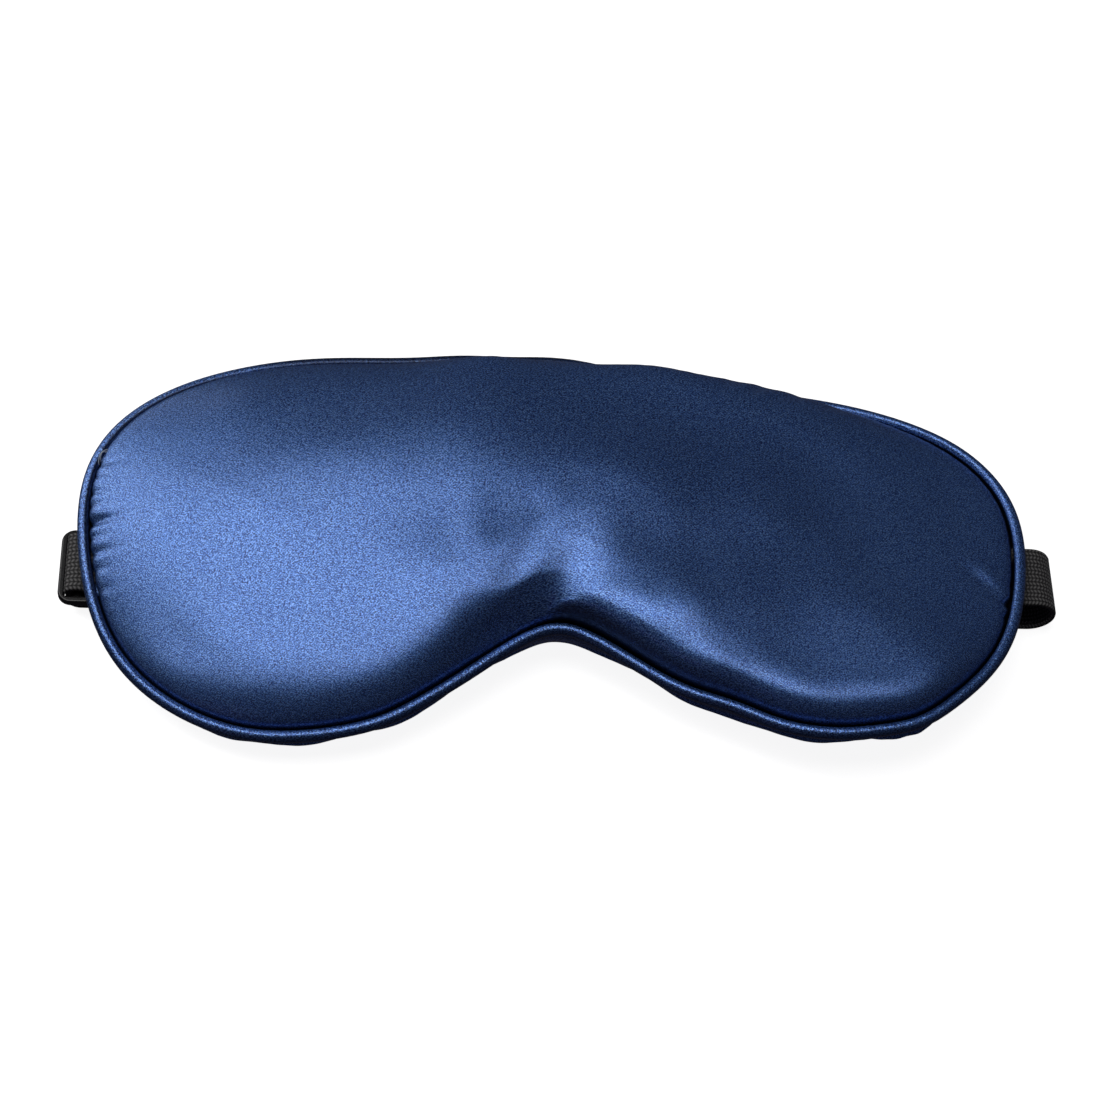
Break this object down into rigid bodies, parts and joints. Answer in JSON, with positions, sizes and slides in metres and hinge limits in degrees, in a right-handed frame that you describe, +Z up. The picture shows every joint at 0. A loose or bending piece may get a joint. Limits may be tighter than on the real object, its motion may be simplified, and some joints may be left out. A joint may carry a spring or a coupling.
{
  "type": "sleep eye mask",
  "caption": "Padded satin sleep eye mask with a nose notch, piped edge and an elastic strap folded under it, threaded through a three-bar slider.",
  "frame": {"origin": "centre of the bounding box at table level, the mask lying face up on its strap", "axes": "+X along the width, towards the sewn strap end; +Y towards the forehead edge; +Z up, out of the satin face"},
  "size_m": [0.2248, 0.1017, 0.0242],
  "materials": {
    "satin": "satin weave, soft sheen",
    "satin_lining": "satin weave, soft sheen",
    "piping_satin": "satin bias strip",
    "liner": "dense plain weave",
    "wadding": "loose fibre",
    "cotton_cord": "twisted",
    "navy_thread": "spun thread",
    "black_thread": "spun thread",
    "elastic": "ribbed woven elastic",
    "slider_plastic": "glossy moulded"
  },
  "bodies": {
    "mask": {"front_panel": "satin", "back_panel": "satin_lining", "blackout_liner": "liner", "filling_pad": "wadding", "piping_cover": "piping_satin", "piping_cord": "cotton_cord", "seam_thread": "navy_thread", "strap_run": "elastic", "strap_right_turn": "elastic", "strap_tab": "elastic", "strap_end_bartack": "black_thread", "tab_bartack": "black_thread"},
    "slider": {"strap_slider": "slider_plastic", "strap_slider_turn": "elastic"},
    "tail": {"strap_tail": "elastic", "tail_hem_thread": "black_thread"}
  },
  "joints": [
    {"name": "slider_tilt", "type": "hinge", "parent": "mask", "child": "slider", "pos_m": [-0.1031, -0.00564, 0.0053], "axis": [0, 1, 0], "range_deg": [0, 15]},
    {"name": "strap_adjust", "type": "slide", "parent": "mask", "child": "tail", "axis": [1, 0, 0], "range_m": [0, 0.06]}
  ]
}
